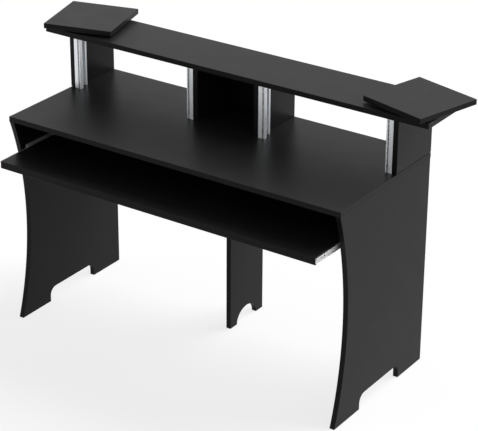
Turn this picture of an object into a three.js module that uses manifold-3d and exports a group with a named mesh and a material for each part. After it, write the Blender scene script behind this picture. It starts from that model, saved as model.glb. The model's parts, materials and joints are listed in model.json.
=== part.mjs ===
// A studio desk. The worktop lies on two side panels with hollow front edges and on a
// narrow centre leg. Four risers on it form two equipment bays with slotted rails and a
// closed middle compartment, and carry a long bridge shelf. A square plate for a
// loudspeaker turns on each end of the shelf, and a keyboard tray runs on ball runners.
// Sizes are in millimetres: X runs to the right, Y to the back and Z up.

import * as THREE from "three";
import { mergeVertices } from "three/addons/utils/BufferGeometryUtils.js";
import Module from "manifold-3d";

const wasm = await Module();
wasm.setup();

// General
const BOARD = 18; // thickness of every board but the tray
const EDGE_BREAK = 0.4; // chamfer round both faces of a board
const CLEARANCE = 0.3; // between pieces that pass or enter one another
const OVERRUN = 5; // how far a cutter reaches past what it cuts
const MERGE_DISTANCE = 1e-4; // vertices closer than this become one

// Worktop and what it lies on
const WORKTOP_WIDTH = 1296;
const WORKTOP_DEPTH = 546;
const PANEL_HEIGHT = 740;
const PANEL_INSET = 1; // side panel behind the worktop's end
const FRONT_HOLLOW = 61; // depth of the side panel's front arc
const FOOT_CUT_FRONT = 151;
const FOOT_CUT_REAR = 396;
const FOOT_CUT_HEIGHT = 51;
const FOOT_CUT_RADIUS = 29;
const LEG_DEPTH = 197;
const ARCH_WIDTH = 118;
const ARCH_HEIGHT = 51;
const STRETCHER_HEIGHT = 300;

// Risers, compartment and bridge shelf
const RISER_HEIGHT = 180;
const RISER_DEPTH = 218;
const SHELF_LENGTH = 1504;
const SHELF_OVERHANG = 3; // shelf past the worktop's rear edge

// Rack rails: the section is measured from the riser and from its front edge
const RACK_PITCH = 465.1; // between the slots of one bay
const SLOT_CENTRE = 17.5;
const SLOT_WIDTH = 5.5;
const RAIL_WALL = 2;
const RAIL_WEB = 3;
const RAIL_ROUND = 0.8;
const CHANNEL_DEPTH = 13.9;
const SCREW_CHANNEL = 7; // room for screw ends behind the strip
const FLANGE_FRONT = 39;
const FLANGE_DEPTH = 8.5;
const FLANGE_REACH = 15;
const RAIL_SCREW_INSET = 30; // from the ends of the rail

// Threaded strips
const STRIP_WIDTH = 9.4;
const STRIP_THICKNESS = 2.7;
const THREAD_RADIUS = 2.5;
const RACK_UNIT = 44.45;
const UNIT_HOLE_SHARES = [1 / 7, 1 / 2, 6 / 7]; // heights in one rack unit

// Keyboard tray
const TRAY_FRONT = -88;
const TRAY_DEPTH = 290;
const TRAY_DROP = 105; // its top below the worktop
const TRAY_THICKNESS = 25;

// Ball runners, each of three members: one on the side panel, one on the tray and a middle
// one that both slide on. U is measured from the side panel, V from the runner's middle.
const RUNNER_SPACE = 12.7; // between side panel and tray
const RUNNER_DROP = 11.5; // middle of the runner below the tray's top
const RUNNER_SHEET = 1;
const RUNNER_BEND = 0.9; // radius of the bends' centre line
const CABINET_HALF_HEIGHT = 17.5; // to the centre line of the cabinet member's flange
const CABINET_FRONT = 55; // also the front of the middle member
const MIDDLE_LENGTH = 250;
const TRAY_MEMBER_SETBACK = 1; // behind the tray's front edge
const MIDDLE_TRAVEL = 85; // opening, middle member in the cabinet member
const TRAY_TRAVEL = 25; // opening, tray member in the middle member
const STOP_GAP = 0.5; // left at each end of the travels
const LIP_WRAP = Math.PI / 3; // how far a lip goes round the balls
const GROOVE_HALF_ANGLE = THREE.MathUtils.degToRad(35); // of the middle member's grooves
const OUTER_BALL = 2; // radius
const OUTER_LINE = 5.6; // U of the balls
const INNER_BALL = 1.5;
const INNER_LINE = 8.9;
const RETAINER_SHEET = 0.5;
const RETAINER_LENGTH = 58;
const BALLS_IN_ROW = 4;
const BALL_PITCH = 14;
const CABINET_SCREW_SHARES = [0.15, 0.85]; // of the middle member's length, from its front
const TRAY_SCREW_SHARES = [0.4, 0.86]; // of the tray member's length
const SPARE_HOLE = 48; // behind the tray member's front end
const SPARE_HOLE_RISE = 4; // above the runner's middle
const SPARE_HOLE_RADIUS = 2.5;
const BUMP_HALF_HEIGHT = 3;

// Turning plates
const PLATE_SIDE = 248;
const PLATE_X = 650;
const PLATE_Y = 452;
const TOE_IN = THREE.MathUtils.degToRad(15);
const SWIVEL_HEIGHT = 5;
const SWIVEL_SHEET = 1;
const SWIVEL_RADIUS = 70;
const SWIVEL_BORE = 41; // radius
const RIM_LIP = 3; // of the base's rim, over the hook of the top ring
const RIM_EASE = 1.2; // between the rim and the hook's edge
const HOOK_WIDTH = 5.8;
const CAGE_WIDTH = 8;
const CAGE_SHEET = 0.8;
const CAGE_BALLS = 12;

// Screws
const SHANK_RADIUS = 1.75;
const HEAD_RADIUS = 3.5;
const HEAD_HEIGHT = 2.2;
const HEAD_RIM = 0.8; // straight part of a pan head
const SCREW_LENGTH = 14;
const COUNTERSINK_EASE = 0.02;

// How finely curves are drawn
const FRONT_STEPS = 30;
const ARCH_STEPS = 20;
const CORNER_STEPS = 5;
const EDGE_STEPS = 2; // of the rails' small rounds
const LIP_STEPS = 4;
const BEND_STEPS = 2;
const HEAD_STEPS = 2;
const SCREW_STEPS = 12;
const HOLE_STEPS = 8;
const RING_STEPS = 32;
const BALL_STEPS = [6, 4]; // round the ball and from pole to pole

// Levels and faces that follow from the sizes
const worktopTop = PANEL_HEIGHT + BOARD;
const shelfBottom = worktopTop + RISER_HEIGHT;
const shelfTop = shelfBottom + BOARD;
const panelInner = WORKTOP_WIDTH / 2 - PANEL_INSET - BOARD;
const riserFront = WORKTOP_DEPTH - RISER_DEPTH;
const bayWidth = RACK_PITCH + 2 * SLOT_CENTRE;
const outerBayFace = WORKTOP_WIDTH / 2 - BOARD;
const innerBayFace = outerBayFace - bayWidth;
const trayHalfWidth = panelInner - RUNNER_SPACE;
const trayTop = PANEL_HEIGHT - TRAY_DROP;

// Centre lines of the runner's sheets. A retainer's web lies half way between two others.
const runnerHeight = trayTop - RUNNER_DROP;
const webPitch = RUNNER_SHEET + RETAINER_SHEET + 2 * CLEARANCE;
const cabinetWeb = RUNNER_SHEET / 2;
const middleWeb = cabinetWeb + webPitch;
const trayWeb = RUNNER_SPACE - RUNNER_SHEET / 2;
const outerTrack = OUTER_BALL + CLEARANCE + RUNNER_SHEET / 2;
const outerHeight = CABINET_HALF_HEIGHT - outerTrack;
const middleFlange = outerHeight - outerTrack * Math.cos(GROOVE_HALF_ANGLE);
const innerTrack = INNER_BALL + CLEARANCE + RUNNER_SHEET / 2;
const innerHeight = middleFlange - innerTrack;
const trayFlange = innerHeight - innerTrack;

// Ends of the runner's members with the tray as drawn
const middleRear = CABINET_FRONT + MIDDLE_LENGTH;
const trayMemberFront = TRAY_FRONT + TRAY_MEMBER_SETBACK;
const trayMemberLength = MIDDLE_LENGTH - RUNNER_SHEET - STOP_GAP;

// The swivel's rim, with the hook of the top ring half way between it and the base
const rimRadius = SWIVEL_BORE + SWIVEL_SHEET;
const rimHeight = SWIVEL_HEIGHT - CLEARANCE;
const hookBore = rimRadius + RIM_EASE;
const hookRadius = hookBore + HOOK_WIDTH;
const hookBottom = (rimHeight - SWIVEL_SHEET) / 2;

// The balls between two members, and the retainer that holds them
const outerRow = {
  radius: OUTER_BALL,
  track: outerTrack,
  line: OUTER_LINE,
  height: outerHeight,
  web: cabinetWeb + webPitch / 2,
  middle: (CABINET_FRONT + middleRear) / 2,
  travel: MIDDLE_TRAVEL,
};
const innerRow = {
  radius: INNER_BALL,
  track: innerTrack,
  line: INNER_LINE,
  height: innerHeight,
  web: middleWeb + webPitch / 2,
  middle: (CABINET_FRONT + trayMemberFront + trayMemberLength) / 2,
  travel: TRAY_TRAVEL,
};

const SIDES = [
  { name: "left", sign: -1 },
  { name: "right", sign: 1 },
];

const black = new THREE.MeshStandardMaterial({ color: 0x1d1d1f, roughness: 0.55 });
const aluminium = metal(0xc6cacc, 0.35);
const zinc = metal(0xb9bec2, 0.3);
const steel = metal(0x6d7175, 0.4);

function metal(color, roughness) {
  return new THREE.MeshStandardMaterial({ color, roughness, metalness: 1 });
}

const desk = new THREE.Group();

function add(name, geometry, material, group = desk) {
  const mesh = new THREE.Mesh(geometry, material);
  mesh.name = name;
  group.add(mesh);
}

// Cutting and joining

// A closed solid with the geometry's shape, without the slivers a lathe leaves on its axis.
function solidOf(geometry) {
  const bare = new THREE.BufferGeometry();
  bare.setAttribute("position", geometry.getAttribute("position"));
  bare.setIndex(geometry.index);
  const merged = mergeVertices(bare, MERGE_DISTANCE);
  const corners = merged.index.array;
  const kept = [];
  for (let i = 0; i < corners.length; i += 3) {
    const [a, b, c] = corners.subarray(i, i + 3);
    if (a !== b && b !== c && c !== a) kept.push(a, b, c);
  }
  const vertProperties = merged.getAttribute("position").array;
  return new wasm.Manifold(
    new wasm.Mesh({ numProp: 3, vertProperties, triVerts: new Uint32Array(kept) }),
  );
}

function geometryOf(solid) {
  const mesh = solid.getMesh();
  const geometry = new THREE.BufferGeometry();
  geometry.setAttribute("position", new THREE.BufferAttribute(mesh.vertProperties, 3));
  geometry.setIndex(new THREE.BufferAttribute(mesh.triVerts, 1));
  return geometry;
}

function cut(body, tools) {
  return geometryOf(tools.reduce((rest, tool) => rest.subtract(solidOf(tool)), solidOf(body)));
}

function join(body, pieces) {
  return geometryOf(pieces.reduce((whole, piece) => whole.add(solidOf(piece)), solidOf(body)));
}

// Outlines

function arc(x, y, radius, from, to, steps) {
  return new THREE.EllipseCurve(x, y, radius, radius, from, to, to < from).getPoints(steps);
}

function rectangle(x0, y0, x1, y1) {
  return rounded([[x0, y0], [x1, y0], [x1, y1], [x0, y1]]);
}

// Corners given as [x, y, radius]; one without a radius stays sharp.
function rounded(corners, steps = CORNER_STEPS) {
  return corners.flatMap(([x, y, radius], i) => {
    const corner = new THREE.Vector2(x, y);
    if (!radius) return [corner];
    const before = corners.at(i - 1);
    const after = corners[(i + 1) % corners.length];
    const back = new THREE.Vector2(before[0], before[1]).sub(corner).normalize();
    const on = new THREE.Vector2(after[0], after[1]).sub(corner).normalize();
    const half = Math.acos(back.dot(on)) / 2;
    const centre = back.clone().add(on).setLength(radius / Math.sin(half)).add(corner);
    const start = back.multiplyScalar(radius / Math.tan(half)).add(corner);
    const end = on.multiplyScalar(radius / Math.tan(half)).add(corner);
    const from = start.clone().sub(centre);
    const to = end.clone().sub(centre);
    const turn = Math.atan2(from.cross(to), from.dot(to));
    const points = [];
    for (let step = 0; step <= steps; step++) {
      points.push(start.clone().rotateAround(centre, (turn * step) / steps));
    }
    return points;
  });
}

// The closed outline of a sheet that follows a centre line.
function sheetOutline(line, thickness) {
  const near = [];
  const far = [];
  line.forEach((point, i) => {
    const before = line[Math.max(i - 1, 0)];
    const after = line[Math.min(i + 1, line.length - 1)];
    const along = after.clone().sub(before).normalize();
    const across = new THREE.Vector2(-along.y, along.x).multiplyScalar(thickness / 2);
    near.push(point.clone().add(across));
    far.unshift(point.clone().sub(across));
  });
  return [...near, ...far];
}

// Boards and bars

// Lies on the XY plane, with both faces' edges broken.
function board(outline, thickness = BOARD) {
  const geometry = new THREE.ExtrudeGeometry(new THREE.Shape(outline), {
    depth: thickness - 2 * EDGE_BREAK,
    bevelThickness: EDGE_BREAK,
    bevelSize: EDGE_BREAK,
    bevelOffset: -EDGE_BREAK,
    bevelSegments: 1,
  });
  return geometry.translate(0, 0, EDGE_BREAK);
}

function bar(outline, length) {
  return new THREE.ExtrudeGeometry(new THREE.Shape(outline), { depth: length, bevelEnabled: false });
}

// Stands it on edge facing X: the outline's axes become Y and Z.
function facingX(geometry, x) {
  const turn = new THREE.Matrix4().makeBasis(
    new THREE.Vector3(0, 1, 0),
    new THREE.Vector3(0, 0, 1),
    new THREE.Vector3(1, 0, 0),
  );
  return geometry.applyMatrix4(turn).translate(x, 0, 0);
}

// Stands it on edge facing Y: the outline's axes become X and Z, and it ends at the given Y.
function facingY(geometry, rear) {
  return geometry.rotateX(Math.PI / 2).translate(0, rear, 0);
}

// A solid turned about Z, from a closed half section of [radius, height] pairs.
function turned(section, steps) {
  const points = [...section, section[0]].map(([radius, height]) => new THREE.Vector2(radius, height));
  return geometryOf(solidOf(new THREE.LatheGeometry(points, steps).rotateX(Math.PI / 2)));
}

// Screws: the seat is at the origin and the shank runs down

function panHeadScrew() {
  const dome = new THREE.EllipseCurve(0, HEAD_RIM, HEAD_RADIUS, HEAD_HEIGHT - HEAD_RIM, 0, Math.PI / 2);
  const section = [
    [0, -SCREW_LENGTH],
    [SHANK_RADIUS, SHANK_RADIUS - SCREW_LENGTH],
    [SHANK_RADIUS, 0],
    [HEAD_RADIUS, 0],
    ...dome.getPoints(HEAD_STEPS).map((point) => [point.x, point.y]),
  ];
  return turned(section, SCREW_STEPS);
}

function countersunkScrew() {
  const section = [
    [0, -SCREW_LENGTH],
    [SHANK_RADIUS, SHANK_RADIUS - SCREW_LENGTH],
    [SHANK_RADIUS, SHANK_RADIUS - HEAD_RADIUS],
    [HEAD_RADIUS, 0],
    [0, 0],
  ];
  return turned(section, SCREW_STEPS);
}

function drill(radius, depth) {
  const height = depth + OVERRUN;
  return new THREE.CylinderGeometry(radius, radius, height, HOLE_STEPS)
    .rotateX(Math.PI / 2)
    .translate(0, 0, OVERRUN - height / 2);
}

function screwHole() {
  return drill(SHANK_RADIUS + CLEARANCE, SCREW_LENGTH + CLEARANCE);
}

function countersink() {
  const shank = SHANK_RADIUS + CLEARANCE;
  const head = HEAD_RADIUS + COUNTERSINK_EASE;
  const section = [
    [0, -SCREW_LENGTH - CLEARANCE],
    [shank, -SCREW_LENGTH - CLEARANCE],
    [shank, shank - head],
    [head, 0],
    [head, OVERRUN],
    [0, OVERRUN],
  ];
  return turned(section, SCREW_STEPS);
}

// Worktop and what it lies on

function worktop() {
  const half = WORKTOP_WIDTH / 2;
  return board(rectangle(-half, 0, half, WORKTOP_DEPTH)).translate(0, 0, PANEL_HEIGHT);
}

// One arc from the toe up to the worktop, hollow towards the seat.
function hollowFront() {
  const half = PANEL_HEIGHT / 2;
  const radius = (half ** 2 + FRONT_HOLLOW ** 2) / (2 * FRONT_HOLLOW);
  const reach = Math.asin(half / radius);
  return arc(FRONT_HOLLOW - radius, half, radius, -reach, reach, FRONT_STEPS);
}

function sidePanel({ sign }) {
  const rest = rounded([
    [WORKTOP_DEPTH, PANEL_HEIGHT],
    [WORKTOP_DEPTH, 0],
    [FOOT_CUT_REAR, 0],
    [FOOT_CUT_REAR, FOOT_CUT_HEIGHT, FOOT_CUT_RADIUS],
    [FOOT_CUT_FRONT, FOOT_CUT_HEIGHT, FOOT_CUT_RADIUS],
    [FOOT_CUT_FRONT, 0],
  ]);
  const middle = sign * (panelInner + BOARD / 2);
  return facingX(board([...hollowFront(), ...rest]), middle - BOARD / 2);
}

function centreLeg() {
  const front = WORKTOP_DEPTH - LEG_DEPTH;
  const middle = WORKTOP_DEPTH - LEG_DEPTH / 2;
  const arch = new THREE.EllipseCurve(middle, 0, ARCH_WIDTH / 2, ARCH_HEIGHT, 0, Math.PI);
  const corners = rectangle(front, PANEL_HEIGHT, WORKTOP_DEPTH, 0);
  corners.splice(corners.length / 2 + 1, 0, ...arch.getPoints(ARCH_STEPS));
  return facingX(board(corners), -BOARD / 2);
}

function stretcher({ sign }) {
  const ends = [sign * panelInner, (sign * BOARD) / 2].sort((a, b) => a - b);
  const outline = rectangle(ends[0], PANEL_HEIGHT - STRETCHER_HEIGHT, ends[1], PANEL_HEIGHT);
  return facingY(board(outline), WORKTOP_DEPTH);
}

// Risers, compartment back and bridge shelf

// The face of a riser towards its bay, and the way from there into the bay.
function bayFace({ sign }, place) {
  if (place === "outer") return { x: sign * outerBayFace, inward: -sign };
  return { x: sign * innerBayFace, inward: sign };
}

function riser(face) {
  const outline = rectangle(riserFront, worktopTop, WORKTOP_DEPTH, shelfBottom);
  const body = facingX(board(outline), Math.min(face.x, face.x - face.inward * BOARD));
  return cut(body, railScrewSeats(face).map((seat) => seat(screwHole())));
}

function compartmentBack() {
  const half = innerBayFace - BOARD;
  return facingY(board(rectangle(-half, worktopTop, half, shelfBottom)), WORKTOP_DEPTH);
}

function bridgeShelf() {
  const half = SHELF_LENGTH / 2;
  const outline = rectangle(-half, riserFront, half, WORKTOP_DEPTH + SHELF_OVERHANG);
  return board(outline).translate(0, 0, shelfBottom);
}

// Rack rails

function railOutline({ x, inward }) {
  const pocket = STRIP_WIDTH / 2 + CLEARANCE;
  const shoulder = RAIL_WALL + STRIP_THICKNESS + CLEARANCE;
  const reach = SLOT_CENTRE + pocket + RAIL_WALL;
  const channelBottom = CHANNEL_DEPTH - RAIL_WALL;
  const corners = [
    [0, 0],
    [SLOT_CENTRE - SLOT_WIDTH / 2, 0, RAIL_ROUND],
    [SLOT_CENTRE - SLOT_WIDTH / 2, RAIL_WALL],
    [SLOT_CENTRE - pocket, RAIL_WALL],
    [SLOT_CENTRE - pocket, shoulder],
    [SLOT_CENTRE - SCREW_CHANNEL / 2, shoulder],
    [SLOT_CENTRE - SCREW_CHANNEL / 2, channelBottom, RAIL_ROUND],
    [SLOT_CENTRE + SCREW_CHANNEL / 2, channelBottom, RAIL_ROUND],
    [SLOT_CENTRE + SCREW_CHANNEL / 2, shoulder],
    [SLOT_CENTRE + pocket, shoulder],
    [SLOT_CENTRE + pocket, RAIL_WALL],
    [SLOT_CENTRE + SLOT_WIDTH / 2, RAIL_WALL],
    [SLOT_CENTRE + SLOT_WIDTH / 2, 0, RAIL_ROUND],
    [reach, 0, RAIL_ROUND],
    [reach, CHANNEL_DEPTH, RAIL_ROUND],
    [SLOT_CENTRE - pocket - RAIL_WALL, CHANNEL_DEPTH, RAIL_ROUND],
    [SLOT_CENTRE - pocket - RAIL_WALL, RAIL_WALL, RAIL_ROUND],
    [RAIL_WEB, RAIL_WALL, RAIL_ROUND],
    [RAIL_WEB, FLANGE_FRONT, RAIL_ROUND],
    [FLANGE_REACH, FLANGE_FRONT, RAIL_ROUND],
    [FLANGE_REACH, FLANGE_FRONT + FLANGE_DEPTH],
    [FLANGE_REACH - RAIL_WALL, FLANGE_FRONT + FLANGE_DEPTH],
    [FLANGE_REACH - RAIL_WALL, FLANGE_FRONT + RAIL_WALL],
    [0, FLANGE_FRONT + RAIL_WALL],
  ];
  const placed = corners.map(([u, v, radius]) => [x + inward * u, riserFront + v, radius]);
  return rounded(placed, EDGE_STEPS);
}

// Moves a screw, or its hole, to each place on the rail's web, half way from the channel
// to the flange.
function railScrewSeats({ x, inward }) {
  const y = riserFront + (CHANNEL_DEPTH + FLANGE_FRONT) / 2;
  return [worktopTop + RAIL_SCREW_INSET, shelfBottom - RAIL_SCREW_INSET].map(
    (z) => (geometry) =>
      geometry.rotateY((inward * Math.PI) / 2).translate(x + inward * RAIL_WEB, y, z),
  );
}

function rail(face) {
  const body = bar(railOutline(face), RISER_HEIGHT).translate(0, 0, worktopTop);
  return cut(body, railScrewSeats(face).map((seat) => seat(screwHole())));
}

function threadedStrip({ x, inward }) {
  const half = STRIP_WIDTH / 2;
  const height = RISER_HEIGHT - CLEARANCE;
  const strip = facingY(bar(rectangle(-half, 0, half, height), STRIP_THICKNESS), STRIP_THICKNESS);
  const units = Math.floor(RISER_HEIGHT / RACK_UNIT);
  const firstUnit = (RISER_HEIGHT - units * RACK_UNIT) / 2;
  const holes = [];
  for (let unit = 0; unit < units; unit++) {
    for (const share of UNIT_HOLE_SHARES) {
      const hole = drill(THREAD_RADIUS, STRIP_THICKNESS + OVERRUN).rotateX(Math.PI / 2);
      holes.push(hole.translate(0, 0, firstUnit + (unit + share) * RACK_UNIT));
    }
  }
  return cut(strip, holes).translate(x + inward * SLOT_CENTRE, riserFront + RAIL_WALL, worktopTop);
}

// Keyboard tray and its runners

// Moves a piece drawn for the left runner to its side of the desk. The runner is the
// same above and below its middle, so half a turn makes it the right one.
function onRunner(geometry, { sign }) {
  if (sign > 0) geometry.rotateY(Math.PI);
  return geometry.translate(sign * panelInner, 0, runnerHeight);
}

function runnerBar(upperHalf, thickness, front, length) {
  const lowerHalf = upperHalf.map((point) => new THREE.Vector2(point.x, -point.y)).reverse();
  const outline = sheetOutline([...upperHalf, ...lowerHalf], thickness);
  return facingY(bar(outline, length), front + length);
}

function block(u0, u1, y0, y1, v0, v1) {
  return new THREE.BoxGeometry(u1 - u0, y1 - y0, v1 - v0).translate(
    (u0 + u1) / 2,
    (y0 + y1) / 2,
    (v0 + v1) / 2,
  );
}

// Parts of a member's half section: a lip over or under the balls, the groove they run in
// and the bend from the flange to a web towards the panel or towards the tray.

function lipOver({ line, height, track }) {
  return arc(line, height, track, Math.PI / 2 - LIP_WRAP, Math.PI / 2, LIP_STEPS);
}

function lipUnder({ line, height, track }) {
  return arc(line, height, track, -Math.PI / 2 - LIP_WRAP, -Math.PI / 2, LIP_STEPS);
}

function groove({ line, height, track }) {
  const ends = [GROOVE_HALF_ANGLE, -GROOVE_HALF_ANGLE].map((angle) => angle - Math.PI / 2);
  return arc(line, height, track, ...ends, LIP_STEPS);
}

function bendToPanel(web, flange) {
  const centre = [web + RUNNER_BEND, flange - RUNNER_BEND];
  return arc(...centre, RUNNER_BEND, Math.PI / 2, Math.PI, BEND_STEPS);
}

function bendToTray(web, flange) {
  const centre = [web - RUNNER_BEND, flange - RUNNER_BEND];
  return arc(...centre, RUNNER_BEND, Math.PI / 2, 0, BEND_STEPS);
}

function cabinetSeats() {
  return CABINET_SCREW_SHARES.map((share) => (geometry) => {
    const y = CABINET_FRONT + share * MIDDLE_LENGTH;
    return geometry.rotateY(Math.PI / 2).translate(RUNNER_SHEET, y, 0);
  });
}

function traySeats() {
  return TRAY_SCREW_SHARES.map((share) => (geometry) => {
    const y = trayMemberFront + share * trayMemberLength;
    return geometry.rotateY(-Math.PI / 2).translate(RUNNER_SPACE - RUNNER_SHEET, y, 0);
  });
}

// How far from a retainer's middle its stops are: half of its length and of the travel.
function stopReach({ travel }) {
  return (RETAINER_LENGTH + travel) / 2 + STOP_GAP;
}

// A tab bent over at the rear end of a member, as high as the tray member.
function tab(web, reach, rear) {
  const halfHeight = trayFlange + RUNNER_SHEET / 2;
  return block(web, reach, rear - RUNNER_SHEET, rear, -halfHeight, halfHeight);
}

// A bump on a web that a retainer meets when it comes forward.
function bump(web, row) {
  const rear = row.middle - stopReach(row);
  const top = row.web + RETAINER_SHEET / 2;
  return block(web, top, rear - RUNNER_SHEET, rear, -BUMP_HALF_HEIGHT, BUMP_HALF_HEIGHT);
}

// Screwed to the side panel.
function cabinetMember(side) {
  const half = [...lipOver(outerRow), ...bendToPanel(cabinetWeb, CABINET_HALF_HEIGHT)];
  const rear = middleRear + STOP_GAP + RUNNER_SHEET;
  const body = runnerBar(half, RUNNER_SHEET, CABINET_FRONT, rear - CABINET_FRONT);
  const stops = [tab(cabinetWeb, middleWeb + RUNNER_SHEET, rear), bump(cabinetWeb, outerRow)];
  const holes = cabinetSeats().map((seat) => seat(countersink()));
  return onRunner(cut(join(body, stops), holes), side);
}

// Slides in the cabinet member. The catch on its back meets the outer retainer.
function middleMember(side) {
  const half = [
    ...lipOver(innerRow),
    ...groove(outerRow),
    ...bendToPanel(middleWeb, middleFlange),
  ];
  const body = runnerBar(half, RUNNER_SHEET, CABINET_FRONT, MIDDLE_LENGTH);
  const catchNear = outerRow.web - RETAINER_SHEET / 2;
  const catchFront = outerRow.middle + stopReach(outerRow);
  const catchRear = catchFront + RUNNER_SHEET;
  const stops = [
    tab(middleWeb, INNER_LINE, middleRear),
    bump(middleWeb, innerRow),
    block(catchNear, middleWeb, catchFront, catchRear, -BUMP_HALF_HEIGHT, BUMP_HALF_HEIGHT),
  ];
  return onRunner(join(body, stops), side);
}

// Screwed to the tray. Its two catches meet the arms of the inner retainer.
function trayMember(side) {
  const half = [...lipUnder(innerRow), ...bendToTray(trayWeb, trayFlange)];
  const body = runnerBar(half, RUNNER_SHEET, trayMemberFront, trayMemberLength);
  const catchNear = INNER_LINE - innerTrack * Math.sin(LIP_WRAP);
  const catchTop = innerHeight + RETAINER_SHEET / 2 + CLEARANCE;
  const catchFront = innerRow.middle + stopReach(innerRow);
  const catches = [1, -1].map((up) => {
    const ends = [up * trayFlange, up * catchTop].sort((a, b) => a - b);
    return block(catchNear, INNER_LINE, catchFront, catchFront + RUNNER_SHEET, ...ends);
  });
  const spare = drill(SPARE_HOLE_RADIUS, SCREW_LENGTH)
    .rotateY(-Math.PI / 2)
    .translate(RUNNER_SPACE - RUNNER_SHEET, trayMemberFront + SPARE_HOLE, -side.sign * SPARE_HOLE_RISE);
  const holes = traySeats().map((seat) => seat(screwHole()));
  return onRunner(cut(join(body, catches), [...holes, spare]), side);
}

function ballRetainer(row, side) {
  const armEnd = new THREE.Vector2(row.line + row.radius, row.height);
  const half = [armEnd, ...bendToPanel(row.web, row.height)];
  const body = runnerBar(half, RETAINER_SHEET, row.middle - RETAINER_LENGTH / 2, RETAINER_LENGTH);
  const balls = [];
  for (let i = 0; i < BALLS_IN_ROW; i++) {
    const y = row.middle + (i - (BALLS_IN_ROW - 1) / 2) * BALL_PITCH;
    for (const height of [row.height, -row.height]) {
      balls.push(ball(row.radius).translate(row.line, y, height));
    }
  }
  return onRunner(join(body, balls), side);
}

function ball(radius) {
  return new THREE.SphereGeometry(radius, ...BALL_STEPS);
}

function keyboardTray() {
  const outline = rectangle(-trayHalfWidth, TRAY_FRONT, trayHalfWidth, TRAY_FRONT + TRAY_DEPTH);
  const body = board(outline, TRAY_THICKNESS).translate(0, 0, trayTop - TRAY_THICKNESS);
  const holes = SIDES.flatMap((side) => traySeats().map((seat) => onRunner(seat(screwHole()), side)));
  return cut(body, holes);
}

// Turning plates and the swivels under them

// Screwed to the shelf. Its rim holds the top ring down.
function swivelBase() {
  const section = [
    [SWIVEL_BORE, 0],
    [SWIVEL_RADIUS, 0],
    [SWIVEL_RADIUS, SWIVEL_SHEET],
    [rimRadius, SWIVEL_SHEET],
    [rimRadius, rimHeight - SWIVEL_SHEET],
    [rimRadius + RIM_LIP, rimHeight - SWIVEL_SHEET],
    [rimRadius + RIM_LIP, rimHeight],
    [SWIVEL_BORE, rimHeight],
  ];
  return turned(section, RING_STEPS);
}

// Screwed to the underside of the plate. It hooks under the rim of the base.
function swivelTop() {
  const inner = hookRadius - SWIVEL_SHEET;
  const section = [
    [hookBore, hookBottom],
    [hookRadius, hookBottom],
    [hookRadius, SWIVEL_HEIGHT - SWIVEL_SHEET],
    [SWIVEL_RADIUS, SWIVEL_HEIGHT - SWIVEL_SHEET],
    [SWIVEL_RADIUS, SWIVEL_HEIGHT],
    [inner, SWIVEL_HEIGHT],
    [inner, hookBottom + SWIVEL_SHEET],
    [hookBore, hookBottom + SWIVEL_SHEET],
  ];
  return turned(section, RING_STEPS);
}

function ballRing() {
  const circle = (hookRadius + SWIVEL_RADIUS) / 2;
  const bore = circle - CAGE_WIDTH / 2;
  const rim = circle + CAGE_WIDTH / 2;
  const middle = SWIVEL_HEIGHT / 2;
  const half = CAGE_SHEET / 2;
  const section = [
    [bore, middle - half],
    [rim, middle - half],
    [rim, middle + half],
    [bore, middle + half],
  ];
  const radius = middle - SWIVEL_SHEET - CLEARANCE;
  const balls = [];
  for (let i = 0; i < CAGE_BALLS; i++) {
    const piece = ball(radius).translate(circle, 0, middle);
    balls.push(piece.rotateZ((i * 2 * Math.PI) / CAGE_BALLS));
  }
  return join(turned(section, RING_STEPS), balls);
}

function speakerPlate() {
  const half = PLATE_SIDE / 2;
  return board(rectangle(-half, -half, half, half));
}

// Assembly

add("worktop", worktop(), black);
add("centre_leg", centreLeg(), black);
add("compartment_back", compartmentBack(), black);
add("bridge_shelf", bridgeShelf(), black);
add("keyboard_tray", keyboardTray(), black);

for (const side of SIDES) {
  const { name, sign } = side;
  const panelHoles = cabinetSeats().map((seat) => onRunner(seat(countersink()), side));
  add(`${name}_side_panel`, cut(sidePanel(side), panelHoles), black);
  add(`${name}_rear_stretcher`, stretcher(side), black);

  for (const place of ["outer", "inner"]) {
    const face = bayFace(side, place);
    add(`${name}_${place}_riser`, riser(face), black);
    add(`${name}_${place}_rail`, rail(face), aluminium);
    add(`${name}_${place}_threaded_strip`, threadedStrip(face), steel);
    railScrewSeats(face).forEach((seat, i) => {
      add(`${name}_${place}_rail_screw_${i + 1}`, seat(panHeadScrew()), zinc);
    });
  }

  add(`${name}_cabinet_member`, cabinetMember(side), zinc);
  add(`${name}_middle_member`, middleMember(side), zinc);
  add(`${name}_tray_member`, trayMember(side), zinc);
  add(`${name}_outer_ball_retainer`, ballRetainer(outerRow, side), steel);
  add(`${name}_inner_ball_retainer`, ballRetainer(innerRow, side), steel);
  cabinetSeats().forEach((seat, i) => {
    add(`${name}_cabinet_screw_${i + 1}`, onRunner(seat(countersunkScrew()), side), zinc);
  });
  traySeats().forEach((seat, i) => {
    add(`${name}_tray_screw_${i + 1}`, onRunner(seat(panHeadScrew()), side), zinc);
  });

  const swivel = new THREE.Group();
  swivel.position.set(sign * PLATE_X, PLATE_Y, shelfTop);
  desk.add(swivel);
  add(`${name}_swivel_base`, swivelBase(), zinc, swivel);
  const turning = new THREE.Group();
  turning.rotation.z = -sign * TOE_IN;
  swivel.add(turning);
  add(`${name}_swivel_ball_ring`, ballRing(), steel, turning);
  add(`${name}_swivel_top`, swivelTop(), zinc, turning);
  add(`${name}_speaker_plate`, speakerPlate().translate(0, 0, SWIVEL_HEIGHT), black, turning);
}

// The origin is the middle of the footprint, from the tray's front edge to the rear
// corners of the turned plates.
const plateReach = (PLATE_SIDE / 2) * (Math.cos(TOE_IN) + Math.sin(TOE_IN));
desk.position.y = -(TRAY_FRONT + PLATE_Y + plateReach) / 2;

export default desk;
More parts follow.
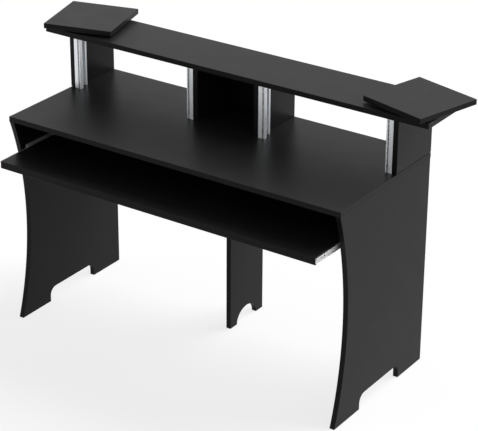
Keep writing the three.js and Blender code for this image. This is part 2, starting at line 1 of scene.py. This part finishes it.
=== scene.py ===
"""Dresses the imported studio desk: procedural materials, detailed screws, the holes of the
tray's runner members, a shadow gap under the outer risers, a pale floor, soft studio light
and a camera. Lengths are in metres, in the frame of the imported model: X runs to the right,
Y to the back and Z up."""

import json
import math

import bmesh
import bpy
from mathutils import Matrix, Vector


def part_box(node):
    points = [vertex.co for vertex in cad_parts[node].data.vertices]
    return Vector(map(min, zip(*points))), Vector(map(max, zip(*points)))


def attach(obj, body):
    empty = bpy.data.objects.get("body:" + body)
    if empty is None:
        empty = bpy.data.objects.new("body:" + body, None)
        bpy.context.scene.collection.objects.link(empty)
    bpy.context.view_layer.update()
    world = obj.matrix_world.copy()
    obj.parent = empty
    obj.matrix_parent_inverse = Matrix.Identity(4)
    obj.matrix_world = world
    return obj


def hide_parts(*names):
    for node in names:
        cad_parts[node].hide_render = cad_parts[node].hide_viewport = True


MM = 0.001

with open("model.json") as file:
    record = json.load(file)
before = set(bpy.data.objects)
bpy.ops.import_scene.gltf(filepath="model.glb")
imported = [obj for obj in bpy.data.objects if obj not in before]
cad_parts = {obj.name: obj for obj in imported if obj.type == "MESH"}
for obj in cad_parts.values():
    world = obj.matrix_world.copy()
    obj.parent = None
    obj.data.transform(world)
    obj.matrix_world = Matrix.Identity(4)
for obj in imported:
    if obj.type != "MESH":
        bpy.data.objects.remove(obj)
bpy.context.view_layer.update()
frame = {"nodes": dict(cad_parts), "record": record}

# Camera
CAMERA_PLACE = Vector((3.2371, -4.5858, 3.1709))
CAMERA_AZIMUTH = math.radians(34.477)
CAMERA_ELEVATION = math.radians(25.098)
CAMERA_ROLL = math.radians(0.211)
LENS = 141.36
SENSOR_WIDTH = 36.0
SHIFT = (0.00836, -0.0414)
CLIP_END = 200

# Light and floor
SKY_STRENGTH = 0.35
KEY_DIRECTION = Vector((0.34, 0.62, 0.71))  # towards the lamp
KEY_ANGLE = math.radians(50)
KEY_STRENGTH = 3.6
FLOOR_SIZE = 60.0
FLOOR_PAINT = 0.2
FLOOR_WHITE = 0.78  # added to the paint where the floor is seen, so that it is white in full light

# Cutting and joining meshes
MERGE_DISTANCE = 0.001 * MM
WALL_TOLERANCE = 0.1 * MM  # between a hole's radius and the corners of its wall
OVERRUN = 1 * MM  # how far a cutter reaches past what it cuts
DRILL_LENGTH = 4 * MM

# The shadow gap at the foot of the outer risers, as deep as it is high
SHADOW_GAP = 3 * MM

# Holes near the front of the tray's runner members: behind the front end, above the middle
# and radius. The solids have the first one.
SOLID_HOLE = (48 * MM, 4 * MM, 2.5 * MM)
SEEN_HOLES = [(49 * MM, -1 * MM, 3.2 * MM), (34 * MM, -0.5 * MM, 2 * MM)]
HOLE_SIDES = 32

# Screws
SCREW_SIDES = 32
DOME_STEPS = 8
HEAD_RADIUS = 3.5 * MM
HEAD_HEIGHT = 2.2 * MM
HEAD_RIM = 0.8 * MM
SHANK_RADIUS = 1.75 * MM
SCREW_LENGTH = 14 * MM
RECESS_REACH = 1.9 * MM
RECESS_WIDTH = 0.85 * MM
RECESS_DEPTH = 1.5 * MM
RECESS_RISE = RECESS_DEPTH * 0.1  # how far its cutter starts above the head
RECESS_TAPER = 0.45  # width at its bottom, as a share of that at its top
TURN_PER_METRE = 60  # turn of a screw in radians for its place along Y, so that recesses differ


# Node helpers


def add_node(tree, kind, inputs=None, **settings):
    """A new node. An input is a value, or the socket that it is linked from."""
    made = tree.nodes.new(kind)
    for name, value in settings.items():
        setattr(made, name, value)
    for key, value in (inputs or {}).items():
        if isinstance(value, bpy.types.NodeSocket):
            tree.links.new(value, made.inputs[key])
        else:
            made.inputs[key].default_value = value
    return made


def maths(tree, operation, *values):
    inputs = dict(enumerate(values))
    return add_node(tree, "ShaderNodeMath", inputs, operation=operation).outputs[0]


def in_range(tree, value, span, result=(0.0, 1.0)):
    """The value, moved from one range to another and kept inside it."""
    inputs = {
        "Value": value,
        "From Min": span[0],
        "From Max": span[1],
        "To Min": result[0],
        "To Max": result[1],
    }
    return add_node(tree, "ShaderNodeMapRange", inputs).outputs["Result"]


def mixed(tree, factor, first, second):
    """A colour between two colours or colour sockets."""
    made = add_node(tree, "ShaderNodeMix", data_type="RGBA")
    sockets = {s.identifier: s for s in made.inputs}
    for key, value in (("Factor_Float", factor), ("A_Color", first), ("B_Color", second)):
        if isinstance(value, bpy.types.NodeSocket):
            tree.links.new(value, sockets[key])
        else:
            sockets[key].default_value = value
    return next(s for s in made.outputs if s.identifier == "Result_Color")


def mixed_number(tree, factor, first, second):
    """A number between those of two sockets."""
    inputs = {0: factor, 2: first, 3: second}
    return add_node(tree, "ShaderNodeMix", inputs, data_type="FLOAT").outputs[0]


def noise(tree, coordinates, scale, detail, stretch=None):
    """Noise from 0 to 1 with features of about 1 / scale metres. It is drawn out along an
    axis whose stretch is over 1."""
    if stretch:
        inputs = {"Vector": coordinates, "Scale": [1 / s for s in stretch]}
        coordinates = add_node(tree, "ShaderNodeMapping", inputs).outputs["Vector"]
    inputs = {"Vector": coordinates, "Scale": scale, "Detail": detail}
    return add_node(tree, "ShaderNodeTexNoise", inputs).outputs["Fac"]


def bumped(tree, height, strength, distance, normal=None):
    inputs = {"Height": height, "Strength": strength, "Distance": distance}
    if normal:
        inputs["Normal"] = normal
    return add_node(tree, "ShaderNodeBump", inputs).outputs["Normal"]


def principled(tree, colour, roughness, normal, constants):
    """The shader, with its constants on its own sockets."""
    inputs = {"Base Color": colour, "Roughness": roughness, "Normal": normal} | constants
    return add_node(tree, "ShaderNodeBsdfPrincipled", inputs)


def grey(level, tint=(1.0, 1.0, 1.0)):
    return tuple(level * t for t in tint) + (1.0,)


def new_material(name, build):
    """A material whose surface is the one Principled shader that build makes."""
    made = bpy.data.materials.new(name)
    made.use_nodes = True
    tree = made.node_tree
    tree.nodes.clear()
    surface = build(tree, add_node(tree, "ShaderNodeTexCoord").outputs)
    add_node(tree, "ShaderNodeOutputMaterial", {"Surface": surface.outputs["BSDF"]})
    return made


# Materials. A noise has a scale and a detail, a bump a strength and a distance.

# The parts of a noise's 0 to 1 in which a look goes from one end to the other
BROAD = (0.25, 0.75)
MEDIUM = (0.3, 0.7)
NARROW = (0.35, 0.65)

METAL = {"Metallic": 1.0}

# Share of the normal along a board's thin axis, up to which it is an edge or a chamfer
EDGE_FLATNESS = 0.5
CHAMFER_FLATNESS = 0.9

BOARD_GRAIN = (520.0, 4.0)
BOARD_PORES = (1400.0, 2.0)
BOARD_CLOUD = (2.5, 3.0)
BOARD_WIPING = (14.0, 5.0)
BAND_LINES = (900.0, 2.0)
BAND_STRETCH = 60.0
FACE_GREYS = (grey(0.0085), grey(0.0105, (1.0, 1.0, 1.03)))
PORE_GREY = grey(0.016)
PORE_SPAN = (0.58, 0.72)
PORE_SHARES = (0.0, 0.35)
BAND_GREYS = (grey(0.0075), grey(0.0105))
# Chamfer greys, lighter than the face: partly rubbed wear, partly a painted highlight along the
# arrises
WEAR_AND_HIGHLIGHT_GREYS = (grey(0.012), grey(0.05))
WEAR_AND_HIGHLIGHT_SPAN = (0.45, 0.7)
WEAR_AND_HIGHLIGHT_SHARES = (0.1, 0.8)
FACE_ROUGHNESS = (0.345, 0.385)
FACE_ROUGHNESS_GRAIN = (-0.03, 0.03)
BAND_ROUGHNESS = (0.36, 0.44)
BOARD_BUMP = (0.25, 0.15 * MM)
BOARD_CONSTANTS = {"Specular IOR Level": 0.099}


def melamine(thin_axis):
    """Black melamine on chipboard, with fine grain on both faces and a banded edge. The
    board is thin along the given axis, 0 to 2 for X to Z."""

    def build(tree, coordinates):
        place = coordinates["Object"]
        parts = add_node(tree, "ShaderNodeSeparateXYZ", {"Vector": coordinates["Normal"]})
        flatness = maths(tree, "ABSOLUTE", parts.outputs[thin_axis])
        on_edge = maths(tree, "LESS_THAN", flatness, EDGE_FLATNESS)
        slanting = maths(tree, "LESS_THAN", flatness, CHAMFER_FLATNESS)
        off_edge = maths(tree, "GREATER_THAN", flatness, EDGE_FLATNESS)
        on_chamfer = maths(tree, "MULTIPLY", slanting, off_edge)

        grain = noise(tree, place, *BOARD_GRAIN)
        pores = noise(tree, place, *BOARD_PORES)
        cloud = noise(tree, place, *BOARD_CLOUD)
        wiping = noise(tree, place, *BOARD_WIPING)
        along_edges = [1.0 if axis == thin_axis else BAND_STRETCH for axis in range(3)]
        lines = noise(tree, place, *BAND_LINES, stretch=along_edges)

        face = mixed(tree, in_range(tree, cloud, MEDIUM), *FACE_GREYS)
        face = mixed(tree, in_range(tree, pores, PORE_SPAN, PORE_SHARES), face, PORE_GREY)
        band = mixed(tree, in_range(tree, lines, NARROW), *BAND_GREYS)
        # The chamfers are painted lighter: partly wear, partly a painted highlight along the
        # arrises
        wear_and_highlight = mixed(tree, in_range(tree, wiping, WEAR_AND_HIGHLIGHT_SPAN, WEAR_AND_HIGHLIGHT_SHARES), *WEAR_AND_HIGHLIGHT_GREYS)
        colour = mixed(tree, on_edge, face, band)
        colour = mixed(tree, on_chamfer, colour, wear_and_highlight)

        smooth = in_range(tree, wiping, MEDIUM, FACE_ROUGHNESS)
        grainy = in_range(tree, grain, MEDIUM, FACE_ROUGHNESS_GRAIN)
        face_roughness = maths(tree, "ADD", smooth, grainy)
        edge_roughness = in_range(tree, lines, MEDIUM, BAND_ROUGHNESS)
        roughness = mixed_number(tree, on_edge, face_roughness, edge_roughness)

        height = mixed_number(tree, on_edge, grain, lines)
        normal = bumped(tree, height, *BOARD_BUMP)
        return principled(tree, colour, roughness, normal, BOARD_CONSTANTS)

    return new_material(f"black_melamine_{'xyz'[thin_axis]}", build)


DIE_LINES = (1600.0, 3.0)
DIE_STRETCH = (1.0, 1.0, 400.0)
ALUMINIUM_PATCHES = (30.0, 4.0)
ALUMINIUM_PATCH_STRETCH = (1.0, 1.0, 3.0)
ALUMINIUM_GREYS = (grey(0.82, (0.965, 0.998, 1.03)), grey(0.90, (0.97, 0.998, 1.025)))
ALUMINIUM_ROUGHNESS = (0.44, 0.6)
ALUMINIUM_BUMP = (0.15, 0.05 * MM)


def anodised_aluminium():
    """Extruded along Z, so the die's fine lines run that way."""

    def build(tree, coordinates):
        place = coordinates["Object"]
        lines = noise(tree, place, *DIE_LINES, stretch=DIE_STRETCH)
        patches = noise(tree, place, *ALUMINIUM_PATCHES, stretch=ALUMINIUM_PATCH_STRETCH)
        colour = mixed(tree, in_range(tree, patches, MEDIUM), *ALUMINIUM_GREYS)
        roughness = in_range(tree, lines, BROAD, ALUMINIUM_ROUGHNESS)
        return principled(tree, colour, roughness, bumped(tree, lines, *ALUMINIUM_BUMP), METAL)

    return new_material("anodised_aluminium", build)


ZINC_BLOOM = (60.0, 5.0)
ZINC_GRIT = (2500.0, 2.0)
ZINC_ROLLING = (1200.0, 2.0)
ZINC_ROLLING_STRETCH = (1.0, 80.0, 1.0)
ZINC_GREYS = (grey(0.56, (0.98, 1.0, 1.03)), grey(0.62, (1.01, 1.0, 0.97)))
ZINC_ROUGHNESS = (0.62, 0.7)
ZINC_ROUGHNESS_GRIT = (-0.03, 0.05)
ZINC_BUMP = (0.1, 0.04 * MM)


def zinc_plate():
    """Zinc on rolled steel: bluish, with faint yellow patches and rolling lines."""

    def build(tree, coordinates):
        place = coordinates["Object"]
        bloom = noise(tree, place, *ZINC_BLOOM)
        grit = noise(tree, place, *ZINC_GRIT)
        rolled = noise(tree, place, *ZINC_ROLLING, stretch=ZINC_ROLLING_STRETCH)
        colour = mixed(tree, in_range(tree, bloom, NARROW), *ZINC_GREYS)
        smooth = in_range(tree, bloom, MEDIUM, ZINC_ROUGHNESS)
        gritty = in_range(tree, grit, MEDIUM, ZINC_ROUGHNESS_GRIT)
        roughness = maths(tree, "ADD", smooth, gritty)
        return principled(tree, colour, roughness, bumped(tree, rolled, *ZINC_BUMP), METAL)

    return new_material("zinc_plate", build)


STEEL_FILM = (90.0, 5.0)
STEEL_GRIT = (2200.0, 3.0)
STEEL_GREYS = (grey(0.30, (1.0, 1.0, 1.02)), grey(0.44))
STEEL_ROUGHNESS = (0.28, 0.42)
STEEL_BUMP = (0.08, 0.05 * MM)
THREAD_PITCH = 0.8 * MM
THREAD_BUMP = (0.6, THREAD_PITCH / 3)
WAVE_PERIOD = math.pi / 10  # of Blender's wave bands at a scale of 1


def plain_steel(threaded):
    """Oiled steel. A threaded part has rings along Y, which show in its tapped holes."""

    def build(tree, coordinates):
        place = coordinates["Object"]
        film = noise(tree, place, *STEEL_FILM)
        grit = noise(tree, place, *STEEL_GRIT)
        colour = mixed(tree, in_range(tree, film, NARROW), *STEEL_GREYS)
        roughness = in_range(tree, film, MEDIUM, STEEL_ROUGHNESS)
        normal = bumped(tree, grit, *STEEL_BUMP)
        if threaded:
            inputs = {"Vector": place, "Scale": WAVE_PERIOD / THREAD_PITCH}
            bands = {"wave_type": "BANDS", "bands_direction": "Y"}
            rings = add_node(tree, "ShaderNodeTexWave", inputs, **bands).outputs["Fac"]
            normal = bumped(tree, rings, *THREAD_BUMP, normal)
        return principled(tree, colour, roughness, normal, METAL)

    return new_material("threaded_steel" if threaded else "plain_steel", build)


# Which axis a board is thin along
THIN_AXIS = {
    "worktop": 2,
    "bridge_shelf": 2,
    "keyboard_tray": 2,
    "centre_leg": 0,
    "compartment_back": 1,
}
THIN_AXIS_BY_ENDING = {
    "_side_panel": 0,
    "_riser": 0,
    "_rear_stretcher": 1,
    "_speaker_plate": 2,
}


def thin_axis_of(name):
    if name in THIN_AXIS:
        return THIN_AXIS[name]
    return next(axis for ending, axis in THIN_AXIS_BY_ENDING.items() if name.endswith(ending))


boards = [melamine(axis) for axis in range(3)]
by_slot = {"aluminium": anodised_aluminium(), "zinc": zinc_plate(), "steel": plain_steel(False)}
threaded_steel = plain_steel(True)

for part in frame["record"]["subparts"]:
    name = part["node"]
    slot = part["material_slot"]
    finish = boards[thin_axis_of(name)] if slot == "board" else by_slot[slot]
    if name.endswith("_threaded_strip"):
        finish = threaded_steel
    for material_slot in frame["nodes"][name].material_slots:
        material_slot.material = finish


# Pieces that take the place of a node


def object_of(name, fill):
    mesh = bpy.data.meshes.new(name)
    bm = bmesh.new()
    fill(bm)
    bmesh.ops.recalc_face_normals(bm, faces=bm.faces)
    bm.to_mesh(mesh)
    bm.free()
    made = bpy.data.objects.new(name, mesh)
    bpy.context.scene.collection.objects.link(made)
    return made


def cut_mesh(body, cutter):
    """The mesh that is left of one object when another is cut out of it. Both are removed."""
    change = body.modifiers.new("cut", "BOOLEAN")
    change.object = cutter
    change.operation = "DIFFERENCE"
    change.solver = "EXACT"
    change.use_self = True
    bpy.context.view_layer.update()
    evaluated = body.evaluated_get(bpy.context.evaluated_depsgraph_get())
    mesh = bpy.data.meshes.new_from_object(evaluated)
    bpy.data.objects.remove(body)
    bpy.data.objects.remove(cutter)
    return mesh


def add_solid(bm, name):
    """Adds the solid of a node, with its triangles joined up."""
    bm.from_mesh(frame["nodes"][name].data)
    bmesh.ops.remove_doubles(bm, verts=bm.verts, dist=MERGE_DISTANCE)


def middle_of(low, high, axis):
    return (low[axis] + high[axis]) / 2


def take_place(name, ending, mesh, body, finish):
    piece = bpy.data.objects.new(f"{name}_{ending}", mesh)
    bpy.context.scene.collection.objects.link(piece)
    mesh.materials.clear()
    mesh.materials.append(finish)
    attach(piece, body)
    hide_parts(name)


# Screws


def spun(bm, section):
    """Adds a solid turned about Z from [radius, height] pairs that start and end on the axis."""
    rings = []
    turns = [2 * math.pi * i / SCREW_SIDES for i in range(SCREW_SIDES)]
    for radius, height in section:
        if radius == 0:
            rings.append([bm.verts.new((0, 0, height))])
            continue
        points = [(radius * math.cos(t), radius * math.sin(t), height) for t in turns]
        rings.append([bm.verts.new(point) for point in points])
    for low, high in zip(rings, rings[1:]):
        for i in range(SCREW_SIDES):
            j = (i + 1) % SCREW_SIDES
            below = [low[i % len(low)], low[j % len(low)]]
            above = [high[j % len(high)], high[i % len(high)]]
            corners = below + above
            bm.faces.new(list(dict.fromkeys(corners)))


def cross_cutter(bm, top):
    """Adds the two tapered blades that cut a cross recess down from the given height."""
    for turned in (0.0, math.pi / 2):
        blade = bmesh.ops.create_cube(bm, size=1.0)["verts"]
        for vert in blade:
            at_top = vert.co.z > 0
            share = 1.0 if at_top else RECESS_TAPER
            vert.co.x *= 2 * RECESS_REACH * share
            vert.co.y *= RECESS_WIDTH * share
            vert.co.z = top + RECESS_RISE if at_top else top - RECESS_DEPTH
        matrix = Matrix.Rotation(turned, 3, "Z")
        bmesh.ops.rotate(bm, verts=blade, cent=(0, 0, 0), matrix=matrix)


def screw_mesh(name, section, top):
    """The mesh of a screw with its seat at the origin and its shank down, cross recess cut."""
    body = object_of(name, lambda bm: spun(bm, section))
    cutter = object_of(f"{name}_cutter", lambda bm: cross_cutter(bm, top))
    return cut_mesh(body, cutter)


def dome():
    """The top of a pan head, from its rim up to its middle."""
    turns = [math.pi / 2 * i / DOME_STEPS for i in range(DOME_STEPS)]
    height = HEAD_HEIGHT - HEAD_RIM
    points = [(HEAD_RADIUS * math.cos(t), HEAD_RIM + height * math.sin(t)) for t in turns]
    return points + [(0, HEAD_HEIGHT)]


SHANK = [(0, -SCREW_LENGTH), (SHANK_RADIUS, SHANK_RADIUS - SCREW_LENGTH)]
PAN_HEAD = SHANK + [(SHANK_RADIUS, 0), (HEAD_RADIUS, 0)] + dome()
COUNTERSUNK_HEAD = SHANK + [(SHANK_RADIUS, SHANK_RADIUS - HEAD_RADIUS), (HEAD_RADIUS, 0), (0, 0)]

pan_mesh = screw_mesh("pan_head", PAN_HEAD, HEAD_HEIGHT)
countersunk_mesh = screw_mesh("countersunk_head", COUNTERSUNK_HEAD, 0)


def heads_towards(name):
    """1 if the screw's head points along +X, and -1 if along -X."""
    side = 1 if name.startswith("right") else -1
    outwards = "inner_rail" in name or "tray_screw" in name
    return side if outwards else -side


def place_screw(name, body):
    low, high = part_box(name)
    way = heads_towards(name)
    pan = "cabinet" not in name
    head_end = high[0] if way > 0 else low[0]
    seat_x = head_end - way * (HEAD_HEIGHT if pan else 0)
    seat = Vector((seat_x, middle_of(low, high, 1), middle_of(low, high, 2)))
    mesh = (pan_mesh if pan else countersunk_mesh).copy()
    recess_turn = Matrix.Rotation(TURN_PER_METRE * seat.y, 4, "Z")
    turn = Matrix.Rotation(way * math.pi / 2, 4, "Y") @ recess_turn
    mesh.transform(Matrix.Translation(seat) @ turn)
    take_place(name, "with_recess", mesh, body, by_slot["zinc"])


for body, nodes in frame["record"]["behaviour"]["bodies"].items():
    for name in nodes:
        if "_screw_" in name:
            place_screw(name, body)


# Runner members with the holes that the photograph shows


def fill_hole(bm, y, z, radius):
    """Takes the wall of a round hole along X out and closes both of its ends."""

    def on_wall(vert):
        return abs(math.hypot(vert.co.y - y, vert.co.z - z) - radius) < WALL_TOLERANCE

    walls = [face for face in bm.faces if all(on_wall(vert) for vert in face.verts)]
    edges = dict.fromkeys(edge for face in walls for edge in face.edges)
    rims = [edge for edge in edges if any(face not in walls for face in edge.link_faces)]
    bmesh.ops.delete(bm, geom=walls, context="FACES_KEEP_BOUNDARY")
    bmesh.ops.holes_fill(bm, edges=rims, sides=0)


def pierced_member(side, way):
    """The tray's runner member, whose web is towards the tray. The way is 1 for the right."""
    name = f"{side}_tray_member"
    low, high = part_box(name)
    front = low[1]
    middle = middle_of(low, high, 2)
    web = low[0] if way > 0 else high[0]

    def unpierced(bm):
        add_solid(bm, name)
        behind, above, radius = SOLID_HOLE
        fill_hole(bm, front + behind, middle + above, radius)

    def drills(bm):
        along_x = Matrix.Rotation(math.pi / 2, 4, "Y")
        for behind, above, radius in SEEN_HOLES:
            place = Matrix.Translation((web, front + behind, middle + above)) @ along_x
            size = {"radius1": radius, "radius2": radius, "depth": DRILL_LENGTH}
            bmesh.ops.create_cone(bm, cap_ends=True, segments=HOLE_SIDES, matrix=place, **size)

    mesh = cut_mesh(object_of("member", unpierced), object_of("drills", drills))
    mesh.shade_flat()
    take_place(name, "pierced", mesh, "tray", by_slot["zinc"])


# Outer risers with a shadow gap where they stand on the worktop


def grooved_riser(side, way):
    name = f"{side}_outer_riser"
    low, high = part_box(name)
    outer = high[0] if way > 0 else low[0]

    def cutter(bm):
        depth = high[1] - low[1] + 2 * OVERRUN
        size = Matrix.Diagonal((2 * SHADOW_GAP, depth, 2 * SHADOW_GAP)).to_4x4()
        place = Matrix.Translation((outer, middle_of(low, high, 1), low[2]))
        bmesh.ops.create_cube(bm, size=1.0, matrix=place @ size)

    mesh = cut_mesh(object_of("riser", lambda bm: add_solid(bm, name)), object_of("gap", cutter))
    mesh.shade_flat()
    take_place(name, "grooved", mesh, "desk", boards[0])


for side, way in (("left", -1), ("right", 1)):
    pierced_member(side, way)
    grooved_riser(side, way)


# Floor, light and camera


def seen_directly(tree):
    """1 for what the camera sees itself, in a reflection or through glass, and 0 for light."""
    path = add_node(tree, "ShaderNodeLightPath").outputs
    either = maths(tree, "MAXIMUM", path["Is Camera Ray"], path["Is Glossy Ray"])
    return maths(tree, "MAXIMUM", either, path["Is Transmission Ray"])


def add_floor():
    mesh = bpy.data.meshes.new("floor")
    half = FLOOR_SIZE / 2
    corners = [(-half, -half, 0), (half, -half, 0), (half, half, 0), (-half, half, 0)]
    mesh.from_pydata(corners, [], [(0, 1, 2, 3)])
    floor = bpy.data.objects.new("floor", mesh)
    bpy.context.scene.collection.objects.link(floor)
    finish = bpy.data.materials.new("pale_floor")
    finish.use_nodes = True
    tree = finish.node_tree
    tree.nodes.clear()
    paint = add_node(tree, "ShaderNodeBsdfDiffuse", {"Color": grey(FLOOR_PAINT)})
    strength = maths(tree, "MULTIPLY", seen_directly(tree), FLOOR_WHITE)
    white = add_node(tree, "ShaderNodeEmission", {"Color": grey(1.0), "Strength": strength})
    both = add_node(tree, "ShaderNodeAddShader", {0: paint.outputs[0], 1: white.outputs[0]})
    add_node(tree, "ShaderNodeOutputMaterial", {"Surface": both.outputs[0]})
    mesh.materials.append(finish)


def add_sky():
    world = bpy.data.worlds.new("sky")
    world.use_nodes = True
    tree = world.node_tree
    tree.nodes.clear()
    strength = in_range(tree, seen_directly(tree), (0.0, 1.0), (SKY_STRENGTH, 1.0))
    shader = add_node(tree, "ShaderNodeBackground", {"Color": grey(1.0), "Strength": strength})
    add_node(tree, "ShaderNodeOutputWorld", {"Surface": shader.outputs[0]})
    bpy.context.scene.world = world


def add_key():
    light = bpy.data.lights.new("key", "SUN")
    light.angle = KEY_ANGLE
    light.energy = KEY_STRENGTH
    key = bpy.data.objects.new("key", light)
    key.rotation_euler = KEY_DIRECTION.to_track_quat("Z", "Y").to_euler()
    bpy.context.scene.collection.objects.link(key)


def add_camera():
    level_right = Vector((math.cos(CAMERA_AZIMUTH), math.sin(CAMERA_AZIMUTH), 0))
    level_part = math.cos(CAMERA_ELEVATION)
    look_x = -math.sin(CAMERA_AZIMUTH) * level_part
    look_y = math.cos(CAMERA_AZIMUTH) * level_part
    look = Vector((look_x, look_y, -math.sin(CAMERA_ELEVATION)))
    level_up = level_right.cross(look)
    right = math.cos(CAMERA_ROLL) * level_right + math.sin(CAMERA_ROLL) * level_up
    up = math.cos(CAMERA_ROLL) * level_up - math.sin(CAMERA_ROLL) * level_right
    data = bpy.data.cameras.new("camera")
    data.sensor_width = SENSOR_WIDTH
    data.lens = LENS
    data.shift_x, data.shift_y = SHIFT
    data.clip_end = CLIP_END
    camera = bpy.data.objects.new("camera", data)
    axes = Matrix((right, up, -look)).transposed().to_4x4()
    camera.matrix_world = Matrix.Translation(CAMERA_PLACE) @ axes
    bpy.context.scene.collection.objects.link(camera)
    bpy.context.scene.camera = camera


add_floor()
add_sky()
add_key()
add_camera()
bpy.context.scene.view_settings.view_transform = "Standard"
